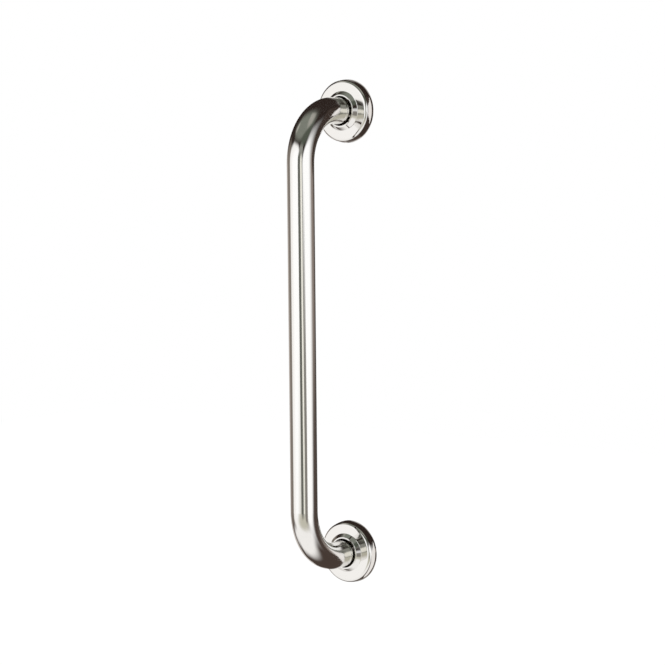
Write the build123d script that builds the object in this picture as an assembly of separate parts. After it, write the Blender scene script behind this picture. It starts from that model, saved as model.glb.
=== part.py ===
from build123d import *

import os

# Wall-mounted grab bar: one bent tube, welded at both ends to screw plates that drawn covers hide.
# All sizes are in millimetres. The wall is the plane y = 0, the bar stands off it towards -Y and
# runs up along +Z. The origin is the centre of the lower screw circle, on the wall.

# Tube
tube_diameter = 25.4
tube_wall = 1.5
fixing_centres = 425.0  # from one stub's axis to the other's
straight_stub = 25.0  # from the wall to where the bend begins
bend_radius = 50.0  # at the tube's centre line
tube_end_setback = 0.5  # the cut end stops this far short of the wall

# Wall plates and their welds
plate_thickness = 2.5
plate_edge_round = 0.6
screw_hole_diameter = 5.5
screw_holes = 3
weld_leg = 2.8
weld_sag = 0.5  # how far the bead's face bulges past a straight fillet

# Covers, drawn from sheet
sheet = 1.0
cover_diameter = 60.0
cover_face_height = 10.2  # from the wall to the front of the flat face
skirt_lean = 1.2  # how much smaller the skirt is at the face than at the foot, on the radius
cover_foot_round = 20.0  # outside radius where the straight foot leans into the skirt
cover_rim_round = 3.0  # outside radius between the skirt and the face
step_rise = 3.4
step_run = 3.3
step_round = 0.8
lip_width = 1.2

# Clearances
cover_to_wall = 0.3
cover_to_plate = 0.5
cover_to_tube = 1.5
plate_to_tube = 0.1

# Worked out from the sizes above
tube_radius = tube_diameter / 2
projection = straight_stub + bend_radius
cover_radius = cover_diameter / 2
plate_radius = cover_radius - sheet - cover_to_plate
weld_toe_radius = tube_radius + weld_leg
screw_circle_radius = (weld_toe_radius + plate_radius) / 2
hole_radius = tube_radius + cover_to_tube
lip_radius = hole_radius + lip_width
step_radius = lip_radius + step_run
lip_height = cover_face_height + step_rise


def make_tube():
    """One length of tube with a square bend at each end, open at both cut ends."""
    path = FilletPolyline(
        (0, -tube_end_setback, 0),
        (0, -projection, 0),
        (0, -projection, fixing_centres),
        (0, -tube_end_setback, fixing_centres),
        radius=bend_radius,
    )
    section = Circle(tube_radius) - Circle(tube_radius - tube_wall)
    return sweep(Plane(path @ 0, z_dir=path % 0) * section, path=path)


def make_plate(outward):
    """A blanked disc on the wall with a seat for the tube; one screw hole points along outward Z."""
    profile = Pos((tube_radius + plate_to_tube + plate_radius) / 2, -plate_thickness / 2) * Rectangle(
        plate_radius - tube_radius - plate_to_tube, plate_thickness
    )
    front_rim = profile.vertices().group_by(Axis.X)[-1].sort_by(Axis.Y)[0]
    plate = revolve(fillet(front_rim, plate_edge_round), Axis.Y)
    drill = Rot(X=90) * Cylinder(screw_hole_diameter / 2, 3 * plate_thickness)
    for hole in range(screw_holes):
        plate -= Rot(Y=hole * 360 / screw_holes) * Pos(Z=outward * screw_circle_radius) * drill
    return plate


def make_weld():
    """The fillet bead that closes the corner between the plate's front and the tube."""
    corner = (tube_radius, -plate_thickness)
    plate_toe = (weld_toe_radius, -plate_thickness)
    tube_toe = (tube_radius, -plate_thickness - weld_leg)
    bead = Line(corner, plate_toe) + SagittaArc(plate_toe, tube_toe, weld_sag) + Line(tube_toe, corner)
    return revolve(make_face(bead), Axis.Y)


def make_cover():
    """A drawn cup: a foot round the plate, a sloping skirt, a flat face and a step up to the lip."""
    outside = FilletPolyline(
        (cover_radius, -cover_to_wall),
        (cover_radius, -plate_thickness),
        (cover_radius - skirt_lean, -cover_face_height),
        (step_radius, -cover_face_height),
        (lip_radius, -lip_height),
        (hole_radius, -lip_height),
        radius=[cover_foot_round, cover_rim_round, step_round, step_round],
    )
    return revolve(make_face(offset(outside, sheet, side=Side.RIGHT)), Axis.Y)


def main():
    os.makedirs("parts", exist_ok=True)
    export_step(make_tube(), "parts/grab_tube.step")
    for end, height, outward in (("lower", 0, -1), ("upper", fixing_centres, 1)):
        place = Pos(Z=height)
        export_step(place * make_plate(outward), f"parts/{end}_wall_plate.step")
        export_step(place * make_weld(), f"parts/{end}_weld_bead.step")
        export_step(place * make_cover(), f"parts/{end}_cover.step")


main()
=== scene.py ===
import math
from collections import namedtuple

import bpy
from mathutils import Matrix, Vector


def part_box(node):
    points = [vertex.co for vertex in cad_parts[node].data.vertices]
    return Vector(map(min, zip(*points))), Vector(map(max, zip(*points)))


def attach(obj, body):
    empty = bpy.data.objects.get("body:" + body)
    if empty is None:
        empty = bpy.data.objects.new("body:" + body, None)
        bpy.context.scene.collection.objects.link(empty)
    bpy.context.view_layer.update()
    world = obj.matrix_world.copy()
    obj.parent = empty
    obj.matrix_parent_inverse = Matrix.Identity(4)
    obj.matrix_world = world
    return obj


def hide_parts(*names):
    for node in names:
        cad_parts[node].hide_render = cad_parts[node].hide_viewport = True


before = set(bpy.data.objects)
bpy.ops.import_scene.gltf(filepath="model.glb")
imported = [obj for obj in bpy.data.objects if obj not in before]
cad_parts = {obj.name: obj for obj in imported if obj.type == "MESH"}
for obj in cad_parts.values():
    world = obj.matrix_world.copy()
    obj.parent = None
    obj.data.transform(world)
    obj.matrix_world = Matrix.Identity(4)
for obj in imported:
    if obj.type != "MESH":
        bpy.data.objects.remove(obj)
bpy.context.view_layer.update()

# A polished grab bar: a bent tube, two loose covers, and the screw plates and welds under them.
# Everything is in metres, in the part's own frame: the wall is y = 0 and the bar runs up +Z.

MM = 0.001

# Sizes of the bar, from the boxes of its pieces
tube_low, tube_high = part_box("grab_tube")
weld_low, weld_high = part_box("lower_weld_bead")
tube_radius = (tube_high.x - tube_low.x) / 2
weld_toe_radius = (weld_high.x - weld_low.x) / 2
projection = -tube_low.y - tube_radius  # from the wall to the bar's axis
lower_axis_z = tube_low.z + tube_radius
upper_axis_z = tube_high.z - tube_radius
half_centres = (upper_axis_z - lower_axis_z) / 2
bar_middle_z = (lower_axis_z + upper_axis_z) / 2
wall_middle = Vector((0, 0, bar_middle_z))  # on the wall, midway between the stubs

# Sizes that no box shows, as the part has them
bend_radius = 50 * MM
tube_wall = 1.5 * MM
bead_bulge = 0.5 * MM
straight_stub = projection - bend_radius

# Welds: the ripples of a bead, and how far its heat has coloured the steel
ripple_count = 58
ripple_depth = 0.35 * MM
heat_reach = 6 * MM

# Where the photograph was taken from
image_side_px = 665
camera_bearing = math.radians(36.72)
camera_elevation = math.radians(4.93)
camera_roll = math.radians(-0.53)
camera_distance = 1.82
px_per_metre = 1038.1  # at the camera's distance
aim_right = -16.7 * MM  # the picture's middle, from the wall's middle
aim_up = 0.64 * MM

# Floor
floor_drop = 0.9  # below the lower stub, as such a bar hangs
floor_half = 6.0
floor_glow = 0.6  # share of plain white in what the camera sees of it

# Ranges and heights that more than one finish uses
wear_least, wear_most = 0.1, 0.45  # two noises multiplied, from bright metal to worn
grain_least, grain_most = 0.3, 0.7  # one noise
bump_height = 0.1 * MM

# Sockets of a Mix node for colours, by number because its other sockets have the same names
MIX_SHARE, MIX_FIRST, MIX_SECOND, MIX_RESULT = 0, 6, 7, 2


def linear(hex_code):
    """An sRGB hex colour as a linear RGBA tuple."""
    channels = [int(hex_code[i:i + 2], 16) / 255 for i in (1, 3, 5)]
    return tuple(c / 12.92 if c <= 0.04045 else ((c + 0.055) / 1.055) ** 2.4 for c in channels) + (1.0,)


def add(tree, kind, inputs=None, stops=(), **settings):
    """Adds a node with its settings; an input is a value, a socket or a node, whose first output is used."""
    made = tree.nodes.new(kind)
    for name, value in settings.items():
        setattr(made, name, value)
    for socket, value in (inputs or {}).items():
        if isinstance(value, bpy.types.Node):
            value = value.outputs[0]
        if isinstance(value, bpy.types.NodeSocket):
            tree.links.new(value, made.inputs[socket])
        else:
            made.inputs[socket].default_value = value
    for i, (place, colour) in enumerate(stops):
        ramp = made.color_ramp.elements
        stop = ramp[i] if i < 2 else ramp.new(place)
        stop.position = place
        stop.color = colour
    return made


def new_material(name):
    """A material and its empty node tree."""
    material = bpy.data.materials.new(name)
    material.use_nodes = True
    material.node_tree.nodes.clear()
    return material, material.node_tree


def put_in_scene(name, data):
    """An object made of the data and linked to the scene."""
    made = bpy.data.objects.new(name, data)
    bpy.context.scene.collection.objects.link(made)
    return made


def towards(bearing, elevation):
    """The direction at a bearing, from straight off the wall round to +X, and an elevation, in radians."""
    level = math.cos(elevation)
    return Vector((math.sin(bearing) * level, -math.cos(bearing) * level, math.sin(elevation)))


# Studio that the metal shows. Its bearings are in degrees from the camera's side, to the camera's right,
# and its elevations are in degrees above the horizon.
WHITE = linear("#FFFFFF")
DARK_CEILING = linear("#2B221E")
DARK_FLOOR = linear("#463B35")
studio_strength = 1.18  # makes up for what the steel takes, so that the panels show as written
soft_strength = 1.05  # plain white light on matt surfaces

# Coats over the dark ceiling, each from the elevation where it starts to the one where it is full. Some
# lie only on the lit side of the bar.
Coat = namedtuple("Coat", "colour starts full lit_side_only")
studio_coats = (
    Coat(DARK_FLOOR, 2, -8, False),
    Coat(linear("#EEECEA"), -18, -34, True),  # pale sheet on the floor
    Coat(linear("#777A71"), 30, 46, True),  # grey ceiling
)
lit_bearing = math.radians(-28)  # middle of the lit side
lit_starts, lit_full = -0.26, 0.22  # cosines of the angle from that bearing

# Soft panels round the bar, each over the ones before it. Higher powers give straighter sides, and the
# softness is how far the edge fades, inwards and outwards.
Panel = namedtuple("Panel", "colour bearing elevation half_width half_height powers softness")
studio_panels = (
    Panel(linear("#7B736B"), -112, 0, 30, 20, (2, 2), 0.7),  # side wall on the left
    Panel(linear("#B5ADA7"), -155, -4, 20, 9, (2, 2), 0.7),  # pale strip behind it
    Panel(linear("#C4BEB9"), -160, -24, 24, 13, (3, 3), 0.5),  # pale wall low behind the bar
    Panel(linear("#D8D4D0"), 146, 0, 33, 38, (3, 3), 0.5),  # pale wall behind the bar
    Panel(linear("#4B4440"), 152, -6, 40, 10, (4, 2), 0.6),  # rail along that wall
    Panel(linear("#857A73"), 106, -2.5, 26, 5, (2, 2), 0.8),  # side wall on the right
    Panel(linear("#9C9A92"), 40, 66, 26, 18, (2, 2), 0.9),  # lighter ceiling over the right card
    Panel(linear("#B8B5AC"), -98, 46, 16, 9, (2, 2), 0.8),  # lighter ceiling over the left card
    Panel(WHITE, 57, -3, 34, 27, (1.5, 1.5), 0.85),  # card on the right
    Panel(WHITE, 45, 0, 28, 20, (2, 2), 0.4),  # bright middle of that card
    Panel(DARK_FLOOR, 112, -15, 30, 8, (2, 2), 0.8),  # bare floor beside that card
    Panel(linear("#F4F2F0"), -55, -1, 44, 32, (3, 3), 0.4),  # card on the left
    Panel(WHITE, -40, 0, 28, 25, (2, 2), 0.6),  # bright middle of that card
    Panel(linear("#BDBAAC"), -10, -22, 42, 14, (2, 2), 0.9),  # front edge of the sheet
    Panel(linear("#8A8A83"), 0, 8, 15, 24, (4, 3), 0.4),  # gap between the cards
    Panel(linear("#4E5349"), 24, 36, 37, 11, (2, 2), 0.8),  # shade under the ceiling's edge
    Panel(linear("#61625B"), -13, 0, 10, 17, (6, 2), 0.7),  # dark strip left of the camera
    Panel(linear("#EEECE2"), 4, -1, 6.5, 13, (6, 2), 0.7),  # bright strip at the camera
    Panel(linear("#7E7A74"), 22, -12, 10, 9.5, (6, 2), 0.7),  # grey strip right of the camera
)

# Glowing cards at the wall on the right of the covers, as part rings round a stub's axis. They are no lamps:
# they paint reflections into the metal, the pale ones a painted highlight on the covers' skirts, the dark
# one a painted dark reflection, painted shade, on the upper bend. Sizes are in mm: how far each lies behind
# the wall's plane, how far beyond the cover's foot it starts, and its width. A taper of 0 keeps that width,
# and 1 narrows it to a point at both ends. Turns are in degrees.
WallCard = namedtuple("WallCard", "name end colour depth starts width taper turns_from turns_to")
wall_cards = (
    WallCard("lower_painted_highlight_card", "lower", linear("#E6E2DF"), 2, 4.5, 10, 1, 26, -64),  # painted highlight on the lower cover's skirt
    WallCard("upper_painted_highlight_card", "upper", linear("#E6E2DF"), 2, 5, 8, 1, 28, -28),  # painted highlight on the upper cover's skirt
    WallCard("upper_painted_shade_card", "upper", linear("#3A302B"), 2.3, 2.5, 42, 0, 30, -60),  # painted shade: a dark reflection on the upper bend
)
card_steps = 18

# Lamps, at bearings and elevations as in the studio
Lamp = namedtuple("Lamp", "name bearing elevation distance side watts")
lamps = (
    Lamp("left_lamp", -50, 50, 1.8, 1.2, 24),
    Lamp("right_lamp", 65, 45, 1.8, 1.0, 16),
)


def panel_mask(tree, bearing, elevation, panel):
    """One inside a panel and nought outside, with rounded corners and a soft edge."""
    shares = []
    for angle, middle, half, power in (
            (bearing, panel.bearing, panel.half_width, panel.powers[0]),
            (elevation, panel.elevation, panel.half_height, panel.powers[1])):
        offset = add(tree, "ShaderNodeMath", {0: angle, 1: middle}, operation="SUBTRACT")
        share = add(tree, "ShaderNodeMath", {0: offset, 1: half}, operation="DIVIDE")
        share = add(tree, "ShaderNodeMath", {0: share}, operation="ABSOLUTE")
        shares.append(add(tree, "ShaderNodeMath", {0: share, 1: power}, operation="POWER"))
    reach = add(tree, "ShaderNodeMath", {0: shares[0], 1: shares[1]}, operation="ADD")
    edge = {"Value": reach, "From Min": 1 + panel.softness, "From Max": 1 - panel.softness}
    return add(tree, "ShaderNodeMapRange", edge, interpolation_type="SMOOTHSTEP")


def make_studio():
    """White to the camera, plain soft light for matt surfaces, and coats and panels for the metal."""
    world = bpy.data.worlds.new("studio")
    bpy.context.scene.world = world
    world.use_nodes = True
    tree = world.node_tree
    tree.nodes.clear()
    direction = add(tree, "ShaderNodeTexCoord").outputs["Generated"]
    turned = add(tree, "ShaderNodeVectorRotate", {"Vector": direction, "Angle": -camera_bearing},
                 rotation_type="Z_AXIS")
    axes = add(tree, "ShaderNodeSeparateXYZ", {"Vector": turned}).outputs
    ahead = add(tree, "ShaderNodeMath", {0: axes["Y"], 1: -1.0}, operation="MULTIPLY")
    bearing = add(tree, "ShaderNodeMath", {0: axes["X"], 1: ahead}, operation="ARCTAN2")
    bearing = add(tree, "ShaderNodeMath", {0: bearing}, operation="DEGREES")
    elevation = add(tree, "ShaderNodeMath", {0: axes["Z"]}, operation="ARCSINE")
    elevation = add(tree, "ShaderNodeMath", {0: elevation}, operation="DEGREES")
    facing = add(tree, "ShaderNodeVectorMath", {0: turned, 1: towards(lit_bearing, 0)},
                 operation="DOT_PRODUCT").outputs["Value"]
    edge = {"Value": facing, "From Min": lit_starts, "From Max": lit_full}
    lit = add(tree, "ShaderNodeMapRange", edge, interpolation_type="SMOOTHSTEP")
    masks = []
    for coat in studio_coats:
        edge = {"Value": elevation, "From Min": coat.starts, "From Max": coat.full}
        mask = add(tree, "ShaderNodeMapRange", edge, interpolation_type="SMOOTHSTEP")
        if coat.lit_side_only:
            mask = add(tree, "ShaderNodeMath", {0: lit, 1: mask}, operation="MULTIPLY")
        masks.append(mask)
    for panel in studio_panels:
        masks.append(panel_mask(tree, bearing, elevation, panel))
    colour = DARK_CEILING
    for mask, layer in zip(masks, studio_coats + studio_panels):
        mix = {MIX_SHARE: mask, MIX_FIRST: colour, MIX_SECOND: layer.colour}
        colour = add(tree, "ShaderNodeMix", mix, data_type="RGBA").outputs[MIX_RESULT]
    path = add(tree, "ShaderNodeLightPath").outputs
    mirrored = add(tree, "ShaderNodeBackground", {"Color": colour, "Strength": studio_strength})
    soft = add(tree, "ShaderNodeBackground", {"Color": WHITE, "Strength": soft_strength})
    white = add(tree, "ShaderNodeBackground", {"Color": WHITE, "Strength": 1.0})
    light = add(tree, "ShaderNodeMixShader", {0: path["Is Glossy Ray"], 1: soft, 2: mirrored})
    seen = add(tree, "ShaderNodeMixShader", {0: path["Is Camera Ray"], 1: light, 2: white})
    add(tree, "ShaderNodeOutputWorld", {"Surface": seen})


def make_camera():
    """A camera at the photograph's place, aimed and rolled to its frame."""
    back = towards(camera_bearing, camera_elevation)
    across = Vector((math.cos(camera_bearing), math.sin(camera_bearing), 0))
    upright = back.cross(across)
    right = across * math.cos(camera_roll) + upright * math.sin(camera_roll)
    up = upright * math.cos(camera_roll) - across * math.sin(camera_roll)
    place = wall_middle + right * aim_right + up * aim_up + back * camera_distance
    camera = put_in_scene("camera", bpy.data.cameras.new("camera"))
    camera.matrix_world = Matrix.Translation(place) @ Matrix((right, up, back)).transposed().to_4x4()
    camera.data.lens = px_per_metre * camera_distance / image_side_px * camera.data.sensor_width
    bpy.context.scene.camera = camera


def make_lamp(lamp):
    """A square soft lamp aimed at the bar; in the metal the studio's cards stand for it."""
    out = towards(camera_bearing + math.radians(lamp.bearing), math.radians(lamp.elevation))
    made = put_in_scene(lamp.name, bpy.data.lights.new(lamp.name, "AREA"))
    made.data.size = lamp.side
    made.data.energy = lamp.watts
    made.rotation_euler = out.to_track_quat("Z", "Y").to_euler()
    made.location = wall_middle + out * lamp.distance
    made.visible_glossy = False


def make_floor():
    """A pale floor under the bar; in the metal the studio's pale sheet stands for it."""
    level = lower_axis_z - floor_drop
    corners = ((-1, -1), (1, -1), (1, 1), (-1, 1))
    mesh = bpy.data.meshes.new("floor")
    mesh.from_pydata([(x * floor_half, y * floor_half, level) for x, y in corners], [], [(0, 1, 2, 3)])
    material, tree = new_material("white_floor_paint")
    paint = add(tree, "ShaderNodeBsdfDiffuse", {"Color": linear("#FCFCFC")})
    glow = add(tree, "ShaderNodeEmission", {"Color": WHITE, "Strength": 1.0})
    path = add(tree, "ShaderNodeLightPath").outputs
    share = add(tree, "ShaderNodeMath", {0: path["Is Camera Ray"], 1: floor_glow}, operation="MULTIPLY")
    mixed = add(tree, "ShaderNodeMixShader", {0: share, 1: paint, 2: glow})
    add(tree, "ShaderNodeOutputMaterial", {"Surface": mixed})
    mesh.materials.append(material)
    floor = put_in_scene("floor", mesh)
    floor.visible_glossy = False


def make_wall_card(card):
    """A part ring beside a cover that glows in its own colour, though it is no lamp; only the metal shows
    it, as a painted reflection.
    """
    cover_low, cover_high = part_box(card.end + "_cover")
    cover_radius = (cover_high.x - cover_low.x) / 2
    axis_z = (cover_low.z + cover_high.z) / 2
    corners = []
    for step in range(card_steps + 1):
        share = step / card_steps
        turn = math.radians(card.turns_from + (card.turns_to - card.turns_from) * share)
        width = card.width * math.sin(math.pi * share) ** card.taper
        for beyond in (card.starts, card.starts + width):
            radius = cover_radius + beyond * MM
            corners.append((radius * math.cos(turn), card.depth * MM, axis_z + radius * math.sin(turn)))
    mesh = bpy.data.meshes.new(card.name)
    mesh.from_pydata(corners, [], [(i, i + 1, i + 3, i + 2) for i in range(0, 2 * card_steps, 2)])
    material, tree = new_material("lit_" + card.name)
    # Painted reflection: the card's colour glows, seen by mirror rays only
    glow = add(tree, "ShaderNodeEmission", {"Color": card.colour, "Strength": studio_strength})
    add(tree, "ShaderNodeOutputMaterial", {"Surface": glow})
    mesh.materials.append(material)
    ring = put_in_scene(card.name, mesh)
    ring.visible_camera = False
    ring.visible_diffuse = False
    ring.visible_shadow = False


def heat_stops(steel):
    """Colours that welding heat leaves on bright steel, from the weld's edge out to the clean steel."""
    colours = ("#8E7C66", "#77788A", "#B59F78", "#CDBF9F", steel)
    return [(i / (len(colours) - 1), linear(colour)) for i, colour in enumerate(colours)]


def offset_from_stub(tree, place):
    """The way from the nearer stub's axis to a place, square to that axis."""
    height = add(tree, "ShaderNodeSeparateXYZ", {"Vector": place}).outputs["Z"]
    upper = add(tree, "ShaderNodeMath", {0: height, 1: bar_middle_z}, operation="GREATER_THAN")
    axis_z = add(tree, "ShaderNodeMath", {0: upper, 1: 2 * half_centres, 2: lower_axis_z},
                 operation="MULTIPLY_ADD")
    axis = add(tree, "ShaderNodeCombineXYZ", {"Z": axis_z})
    offset = add(tree, "ShaderNodeVectorMath", {0: place, 1: axis}, operation="SUBTRACT")
    return add(tree, "ShaderNodeVectorMath", {0: offset, 1: (1, 0, 1)}, operation="MULTIPLY")


def polished_tube_steel():
    """Stainless tube, belt polished lengthwise: sharp reflections, faint lines along the run, dull bore."""
    line_width = 1.4 * MM  # the real lines are a tenth of this, too fine to show
    line_length = 60 * MM
    line_bump = 0.05
    hand_width = 45 * MM  # between the places that hands have dulled
    bright_roughness, worn_roughness = 0.06, 0.12
    bore_roughness = 0.35  # on top of the outside's
    material, tree = new_material("polished_tube_steel")
    place = add(tree, "ShaderNodeTexCoord").outputs["Object"]
    axes = add(tree, "ShaderNodeSeparateXYZ", {"Vector": place}).outputs
    # The distance from the bends' centres gives the place across the tube all along its run
    out = add(tree, "ShaderNodeMath", {0: -straight_stub, 1: axes["Y"]}, operation="SUBTRACT")
    out = add(tree, "ShaderNodeMath", {0: out, 1: 0.0}, operation="MAXIMUM")
    up = add(tree, "ShaderNodeMath", {0: axes["Z"], 1: bar_middle_z}, operation="SUBTRACT")
    up = add(tree, "ShaderNodeMath", {0: up}, operation="ABSOLUTE")
    up = add(tree, "ShaderNodeMath", {0: up, 1: half_centres - bend_radius}, operation="SUBTRACT")
    up = add(tree, "ShaderNodeMath", {0: up, 1: 0.0}, operation="MAXIMUM")
    bend_place = add(tree, "ShaderNodeCombineXYZ", {"X": out, "Y": up})
    across = add(tree, "ShaderNodeVectorMath", {0: bend_place}, operation="LENGTH").outputs["Value"]
    across = add(tree, "ShaderNodeMath", {0: across, 1: bend_radius}, operation="SUBTRACT")
    section = add(tree, "ShaderNodeCombineXYZ", {"X": axes["X"], "Y": across})
    depth = add(tree, "ShaderNodeVectorMath", {0: section}, operation="LENGTH").outputs["Value"]
    bore = add(tree, "ShaderNodeMath", {0: depth, 1: tube_radius - tube_wall / 2}, operation="LESS_THAN")
    along = add(tree, "ShaderNodeMath", {0: axes["Y"], 1: axes["Z"]}, operation="ADD")
    along = add(tree, "ShaderNodeMath", {0: along, 1: line_width / line_length}, operation="MULTIPLY")
    run = add(tree, "ShaderNodeCombineXYZ", {"X": axes["X"], "Y": across, "Z": along})
    lines = add(tree, "ShaderNodeTexNoise", {"Vector": run, "Scale": 1 / line_width, "Detail": 3.0})
    hands = add(tree, "ShaderNodeTexNoise", {"Vector": place, "Scale": 1 / hand_width, "Detail": 2.0})
    wear = add(tree, "ShaderNodeMath", {0: lines, 1: hands}, operation="MULTIPLY")
    gloss = add(tree, "ShaderNodeMapRange", {
        "Value": wear, "From Min": wear_least, "From Max": wear_most,
        "To Min": bright_roughness, "To Max": worn_roughness})
    gloss = add(tree, "ShaderNodeMath", {0: bore, 1: bore_roughness, 2: gloss}, operation="MULTIPLY_ADD")
    # Heat colours next to the weld, under the cover
    clear = add(tree, "ShaderNodeMapRange", {
        "Value": axes["Y"], "From Min": weld_low.y, "From Max": weld_low.y - heat_reach})
    tint = add(tree, "ShaderNodeValToRGB", {"Fac": clear}, heat_stops("#EDECEA"))
    mix = {MIX_SHARE: bore, MIX_FIRST: tint, MIX_SECOND: linear("#A8A39C")}
    colour = add(tree, "ShaderNodeMix", mix, data_type="RGBA").outputs[MIX_RESULT]
    bump = add(tree, "ShaderNodeBump", {"Height": lines, "Strength": line_bump, "Distance": bump_height})
    shader = add(tree, "ShaderNodeBsdfPrincipled", {
        "Metallic": 1.0, "Base Color": colour, "Roughness": gloss, "Normal": bump})
    add(tree, "ShaderNodeOutputMaterial", {"Surface": shader})
    return material


def polished_cover_steel():
    """Stainless sheet, drawn and then buffed while turning: mirror bright, faint rings, dull inside."""
    ring_width = 0.9 * MM  # the real rings are too fine to show
    ring_bump = 0.03
    smear_width = 12 * MM
    bright_roughness, worn_roughness = 0.03, 0.08
    inside_roughness = 0.3  # on top of the outside's
    inside_least = 0.3  # a surface that faces the wall or the stub by more than this is inside
    material, tree = new_material("polished_cover_steel")
    place = add(tree, "ShaderNodeTexCoord").outputs["Object"]
    offset = offset_from_stub(tree, place)
    radius = add(tree, "ShaderNodeVectorMath", {0: offset}, operation="LENGTH").outputs["Value"]
    outward = add(tree, "ShaderNodeVectorMath", {0: offset}, operation="NORMALIZE")
    rings = add(tree, "ShaderNodeTexNoise", {"W": radius, "Scale": 1 / ring_width, "Detail": 2.0},
                noise_dimensions="1D")
    smears = add(tree, "ShaderNodeTexNoise", {"Vector": place, "Scale": 1 / smear_width, "Detail": 3.0})
    wear = add(tree, "ShaderNodeMath", {0: rings, 1: smears}, operation="MULTIPLY")
    gloss = add(tree, "ShaderNodeMapRange", {
        "Value": wear, "From Min": wear_least, "From Max": wear_most,
        "To Min": bright_roughness, "To Max": worn_roughness})
    facing = add(tree, "ShaderNodeNewGeometry").outputs["True Normal"]
    from_stub = add(tree, "ShaderNodeVectorMath", {0: facing, 1: outward}, operation="DOT_PRODUCT")
    to_wall = add(tree, "ShaderNodeSeparateXYZ", {"Vector": facing}).outputs["Y"]
    inside = add(tree, "ShaderNodeMath", {0: to_wall, 1: from_stub.outputs["Value"]}, operation="SUBTRACT")
    inside = add(tree, "ShaderNodeMath", {0: inside, 1: inside_least}, operation="GREATER_THAN")
    gloss = add(tree, "ShaderNodeMath", {0: inside, 1: inside_roughness, 2: gloss}, operation="MULTIPLY_ADD")
    bump = add(tree, "ShaderNodeBump", {"Height": rings, "Strength": ring_bump, "Distance": bump_height})
    shader = add(tree, "ShaderNodeBsdfPrincipled", {
        "Metallic": 1.0, "Base Color": linear("#EBEAE8"), "Roughness": gloss, "Normal": bump})
    add(tree, "ShaderNodeOutputMaterial", {"Surface": shader})
    return material


def mill_plate_steel():
    """Blanked stainless plate with its rolled mill finish: dull grey grain, coloured by the weld's heat."""
    grain_width = 0.5 * MM  # the real grain is finer, too fine to show
    grain_length = 6 * MM
    grain_bump = 0.15
    smooth_roughness, grainy_roughness = 0.28, 0.44
    heat_width = 9 * MM  # between the places where the heat ran further
    heat_waver = heat_reach / 2  # how much the reach of the heat varies
    heat_starts = weld_toe_radius + 0.2 * heat_reach
    material, tree = new_material("mill_plate_steel")
    place = add(tree, "ShaderNodeTexCoord").outputs["Object"]
    offset = offset_from_stub(tree, place)
    radius = add(tree, "ShaderNodeVectorMath", {0: offset}, operation="LENGTH").outputs["Value"]
    rolled = add(tree, "ShaderNodeMapping", {"Vector": place, "Scale": (grain_width / grain_length, 1, 1)})
    grain = add(tree, "ShaderNodeTexNoise", {"Vector": rolled, "Scale": 1 / grain_width, "Detail": 4.0})
    gloss = add(tree, "ShaderNodeMapRange", {
        "Value": grain, "From Min": grain_least, "From Max": grain_most,
        "To Min": smooth_roughness, "To Max": grainy_roughness})
    uneven = add(tree, "ShaderNodeTexNoise", {"Vector": place, "Scale": 1 / heat_width, "Detail": 2.0})
    heat = add(tree, "ShaderNodeMath", {0: uneven, 1: heat_waver, 2: radius}, operation="MULTIPLY_ADD")
    clear = add(tree, "ShaderNodeMapRange", {
        "Value": heat, "From Min": heat_starts, "From Max": heat_starts + heat_reach})
    tint = add(tree, "ShaderNodeValToRGB", {"Fac": clear}, heat_stops("#C6C4C1"))
    bump = add(tree, "ShaderNodeBump", {"Height": grain, "Strength": grain_bump, "Distance": bump_height})
    shader = add(tree, "ShaderNodeBsdfPrincipled", {
        "Metallic": 1.0, "Base Color": tint, "Roughness": gloss, "Normal": bump})
    add(tree, "ShaderNodeOutputMaterial", {"Surface": shader})
    return material


def weld_steel():
    """Stainless weld metal as it set: a dull skin, browned and blued in patches by the heat."""
    patch_width = 5 * MM
    patch_stops = ((0.3, linear("#7F7C80")), (0.5, linear("#A39A8C")), (0.7, linear("#B3A283")))
    skin_grain = 0.3 * MM
    skin_bump = 0.2
    smooth_roughness, grainy_roughness = 0.3, 0.48
    material, tree = new_material("weld_steel")
    place = add(tree, "ShaderNodeTexCoord").outputs["Object"]
    patches = add(tree, "ShaderNodeTexNoise", {"Vector": place, "Scale": 1 / patch_width, "Detail": 2.0})
    tint = add(tree, "ShaderNodeValToRGB", {"Fac": patches}, patch_stops)
    skin = add(tree, "ShaderNodeTexNoise", {"Vector": place, "Scale": 1 / skin_grain, "Detail": 2.0})
    gloss = add(tree, "ShaderNodeMapRange", {
        "Value": skin, "From Min": grain_least, "From Max": grain_most,
        "To Min": smooth_roughness, "To Max": grainy_roughness})
    bump = add(tree, "ShaderNodeBump", {"Height": skin, "Strength": skin_bump, "Distance": bump_height})
    shader = add(tree, "ShaderNodeBsdfPrincipled", {
        "Metallic": 1.0, "Base Color": tint, "Roughness": gloss, "Normal": bump})
    add(tree, "ShaderNodeOutputMaterial", {"Surface": shader})
    return material


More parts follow.
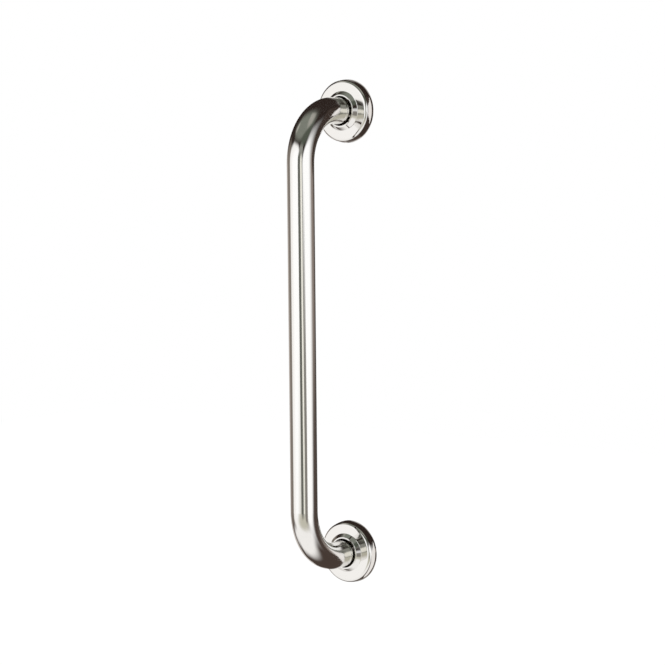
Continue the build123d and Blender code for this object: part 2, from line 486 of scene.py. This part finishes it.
def weld_bead_nodes():
    """Node tree for a fillet weld round the tube: a closed ring whose face has overlapping ripples."""
    steps_round = 480
    section_sides = 3
    steps_per_side = 7
    merge_reach = 0.001 * MM
    tree = bpy.data.node_groups.new("weld_bead", "GeometryNodeTree")
    sizes = ("Tube Radius", "Leg", "Bulge", "Ripple Depth", "Ripple Count", "Plate Front", "Axis Height")
    for name in sizes:
        tree.interface.new_socket(name, in_out="INPUT", socket_type="NodeSocketFloat")
    tree.interface.new_socket("Finish", in_out="INPUT", socket_type="NodeSocketMaterial")
    tree.interface.new_socket("Geometry", in_out="OUTPUT", socket_type="NodeSocketGeometry")
    given = add(tree, "NodeGroupInput").outputs
    grid = add(tree, "GeometryNodeMeshGrid", {
        "Size X": 1.0, "Vertices X": steps_round + 1,
        "Size Y": 1.0, "Vertices Y": section_sides * steps_per_side + 1})
    flat = add(tree, "ShaderNodeSeparateXYZ", {0: add(tree, "GeometryNodeInputPosition")}).outputs
    turn = add(tree, "ShaderNodeMath", {0: flat["X"], 1: 0.5}, operation="ADD")
    # Round the section: out along the plate, up the face and back down the tube
    lap = add(tree, "ShaderNodeMath", {0: flat["Y"], 1: section_sides, 2: section_sides / 2},
              operation="MULTIPLY_ADD")
    on_plate = add(tree, "ShaderNodeMath", {0: lap, 1: 0.0}, operation="ADD", use_clamp=True)
    on_face = add(tree, "ShaderNodeMath", {0: lap, 1: 1.0}, operation="SUBTRACT", use_clamp=True)
    on_tube = add(tree, "ShaderNodeMath", {0: lap, 1: 2.0}, operation="SUBTRACT", use_clamp=True)
    # Swell of the face: highest in its middle, less in the creases between ripples
    centred = add(tree, "ShaderNodeMath", {0: on_face, 1: 2.0, 2: -1.0}, operation="MULTIPLY_ADD")
    edge = add(tree, "ShaderNodeMath", {0: centred, 1: 2.0}, operation="POWER")
    hump = add(tree, "ShaderNodeMath", {0: 1.0, 1: edge}, operation="SUBTRACT")
    ripple = add(tree, "ShaderNodeMath", {0: turn, 1: given["Ripple Count"], 2: edge},
                 operation="MULTIPLY_ADD")
    ripple = add(tree, "ShaderNodeMath", {0: ripple, 1: math.pi}, operation="MULTIPLY")
    ripple = add(tree, "ShaderNodeMath", {0: ripple}, operation="SINE")
    ripple = add(tree, "ShaderNodeMath", {0: ripple}, operation="ABSOLUTE")
    crease = add(tree, "ShaderNodeMath", {0: 1.0, 1: ripple}, operation="SUBTRACT")
    crease = add(tree, "ShaderNodeMath", {0: crease, 1: given["Ripple Depth"]}, operation="MULTIPLY")
    swell = add(tree, "ShaderNodeMath", {0: given["Bulge"], 1: crease}, operation="SUBTRACT")
    swell = add(tree, "ShaderNodeMath", {0: swell, 1: hump}, operation="MULTIPLY")
    # The swell leans half way between out and up, so each gets this share of it
    swell = add(tree, "ShaderNodeMath", {0: swell, 1: math.sqrt(0.5)}, operation="MULTIPLY")
    reach = add(tree, "ShaderNodeMath", {0: on_plate, 1: on_face}, operation="SUBTRACT")
    reach = add(tree, "ShaderNodeMath", {0: reach, 1: given["Leg"], 2: swell}, operation="MULTIPLY_ADD")
    reach = add(tree, "ShaderNodeMath", {0: reach, 1: given["Tube Radius"]}, operation="ADD")
    rise = add(tree, "ShaderNodeMath", {0: on_face, 1: on_tube}, operation="SUBTRACT")
    rise = add(tree, "ShaderNodeMath", {0: rise, 1: given["Leg"], 2: swell}, operation="MULTIPLY_ADD")
    # Round the tube
    angle = add(tree, "ShaderNodeMath", {0: turn, 1: 2 * math.pi}, operation="MULTIPLY")
    cosine = add(tree, "ShaderNodeMath", {0: angle}, operation="COSINE")
    sine = add(tree, "ShaderNodeMath", {0: angle}, operation="SINE")
    x = add(tree, "ShaderNodeMath", {0: reach, 1: cosine}, operation="MULTIPLY")
    y = add(tree, "ShaderNodeMath", {0: given["Plate Front"], 1: rise}, operation="SUBTRACT")
    z = add(tree, "ShaderNodeMath", {0: reach, 1: sine, 2: given["Axis Height"]}, operation="MULTIPLY_ADD")
    rolled = add(tree, "ShaderNodeCombineXYZ", {"X": x, "Y": y, "Z": z})
    ring = add(tree, "GeometryNodeSetPosition", {"Geometry": grid, "Position": rolled})
    closed = add(tree, "GeometryNodeMergeByDistance", {"Geometry": ring, "Distance": merge_reach})
    smooth = add(tree, "GeometryNodeSetShadeSmooth", {"Geometry": closed})
    real = add(tree, "GeometryNodeRealizeInstances", {"Geometry": smooth})
    finished = add(tree, "GeometryNodeSetMaterial", {"Geometry": real, "Material": given["Finish"]})
    add(tree, "NodeGroupOutput", {"Geometry": finished})
    return tree


def make_weld_bead(end, axis_z, tree, finish):
    """Makes one end's rippled weld as a plain mesh, in the place of its CAD bead."""
    values = {"Tube Radius": tube_radius, "Leg": weld_high.y - weld_low.y, "Bulge": bead_bulge,
              "Ripple Depth": ripple_depth, "Ripple Count": ripple_count, "Plate Front": weld_high.y,
              "Axis Height": axis_z, "Finish": finish}
    maker = put_in_scene("bead_maker", bpy.data.meshes.new("bead_maker"))
    modifier = maker.modifiers.new("bead", "NODES")
    modifier.node_group = tree
    for socket in tree.interface.items_tree:
        if socket.in_out == "INPUT":
            modifier[socket.identifier] = values[socket.name]
    made = maker.evaluated_get(bpy.context.evaluated_depsgraph_get())
    mesh = bpy.data.meshes.new_from_object(made)
    bpy.data.objects.remove(maker)
    bead = put_in_scene(end + "_rippled_weld", mesh)
    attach(bead, "bar")
    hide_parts(end + "_weld_bead")


def dress_nodes():
    """Gives each piece of the bar its finish."""
    tube_steel = polished_tube_steel()
    cover_steel = polished_cover_steel()
    plate_steel = mill_plate_steel()
    bead_steel = weld_steel()
    bead_tree = weld_bead_nodes()
    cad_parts["grab_tube"].material_slots[0].material = tube_steel
    for end, axis_z in (("lower", lower_axis_z), ("upper", upper_axis_z)):
        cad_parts[end + "_cover"].material_slots[0].material = cover_steel
        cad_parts[end + "_wall_plate"].material_slots[0].material = plate_steel
        make_weld_bead(end, axis_z, bead_tree, bead_steel)


bpy.context.scene.view_settings.view_transform = "Standard"
make_studio()
make_camera()
for studio_lamp in lamps:
    make_lamp(studio_lamp)
make_floor()
for wall_card in wall_cards:
    make_wall_card(wall_card)
dress_nodes()
